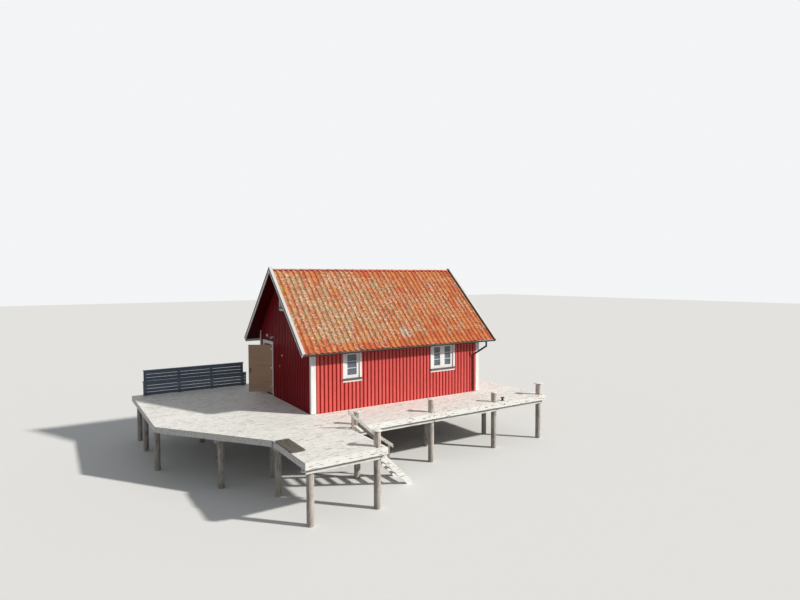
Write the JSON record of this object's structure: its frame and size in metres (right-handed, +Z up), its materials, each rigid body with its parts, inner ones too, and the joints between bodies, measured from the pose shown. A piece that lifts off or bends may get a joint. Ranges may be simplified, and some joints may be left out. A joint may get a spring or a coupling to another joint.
{
  "type": "boathouse",
  "caption": "Timber boathouse on round piles with a pantile gable roof, an opening side door, a jetty with bollard piles, a terrace with a wind fence and a beach stair.",
  "frame": {"origin": "on the ground under the middle of the whole plan, at the feet of the piles", "axes": "+X along the ridge from the terrace and its door to the open end deck, +Y from the jetty's edge towards the back of the house, +Z up"},
  "size_m": [14.6225, 11.89, 7.2235],
  "materials": {
    "red_boards": "matt paint on sawn boards",
    "white_trim": "satin paint",
    "dark_trim": "dark grey paint",
    "frame_wood": "planed, unpainted",
    "floor_wood": "lacquered boards",
    "deck_wood": "weathered grey",
    "beam_wood": "weathered grey-brown",
    "pile_wood": "rough, weathered",
    "roof_clay": "matt fired clay",
    "ridge_clay": "matt fired clay",
    "gutter_metal": "weathered grey zinc",
    "pipe_metal": "dark coat",
    "window_glass": "clear",
    "door_paint": "satin paint",
    "hinge_steel": "satin",
    "handle_metal": "dark bronze coat",
    "lamp_shell": "gloss",
    "conduit_plastic": "matt",
    "fence_wood": "weathered grey stain",
    "cleat_iron": "black coat",
    "old_wood": "dark, weathered"
  },
  "bodies": {
    "house": {"floor_boards": "floor_wood", "floor_joists": "frame_wood", "house_sills": "frame_wood", "front_wall": "red_boards", "back_wall": "red_boards", "water_gable_wall": "red_boards", "door_wall_near": "red_boards", "door_wall_far": "red_boards", "door_wall_over": "red_boards", "rafters": "frame_wood", "tie_beams": "frame_wood", "eave_boards": "red_boards", "roof_boards_front": "red_boards", "roof_boards_back": "red_boards", "roof_tiles_front": "roof_clay", "roof_tiles_back": "roof_clay", "ridge_tiles": "ridge_clay", "bargeboards": "white_trim", "barge_caps": "white_trim", "fascias": "white_trim", "gutters": "gutter_metal", "gutter_hooks": "gutter_metal", "downpipes": "pipe_metal", "corner_boards": "white_trim", "window_casings": "white_trim", "window_sills": "dark_trim", "window_sashes": "white_trim", "window_glass": "window_glass", "door_frame": "white_trim", "door_casing": "white_trim", "door_hinges": "hinge_steel", "gable_lamps": "lamp_shell", "lamp_conduit": "conduit_plastic", "jetty_planks": "deck_wood", "end_planks": "deck_wood", "terrace_planks": "deck_wood", "landing_planks": "deck_wood", "deck_joists": "beam_wood", "deck_rims": "deck_wood", "deck_bearers": "beam_wood", "dark_planks": "old_wood", "bollard_piles": "pile_wood", "pile_caps": "deck_wood", "deck_piles": "pile_wood", "house_piles": "pile_wood", "mooring_cleat": "cleat_iron", "stair_strings": "deck_wood", "stair_treads": "deck_wood", "handrail": "deck_wood", "handrail_posts": "deck_wood", "fence_posts": "fence_wood", "fence_boards": "fence_wood", "fence_caps": "fence_wood"},
    "door": {"door_leaf": "door_paint", "door_handles": "handle_metal"}
  },
  "joints": [
    {"name": "door_hinge", "type": "hinge", "parent": "house", "child": "door", "pos_m": [-2.322, 2.8425, 2.985], "axis": [0, 0, 1], "range_deg": [-57, 53]}
  ]
}
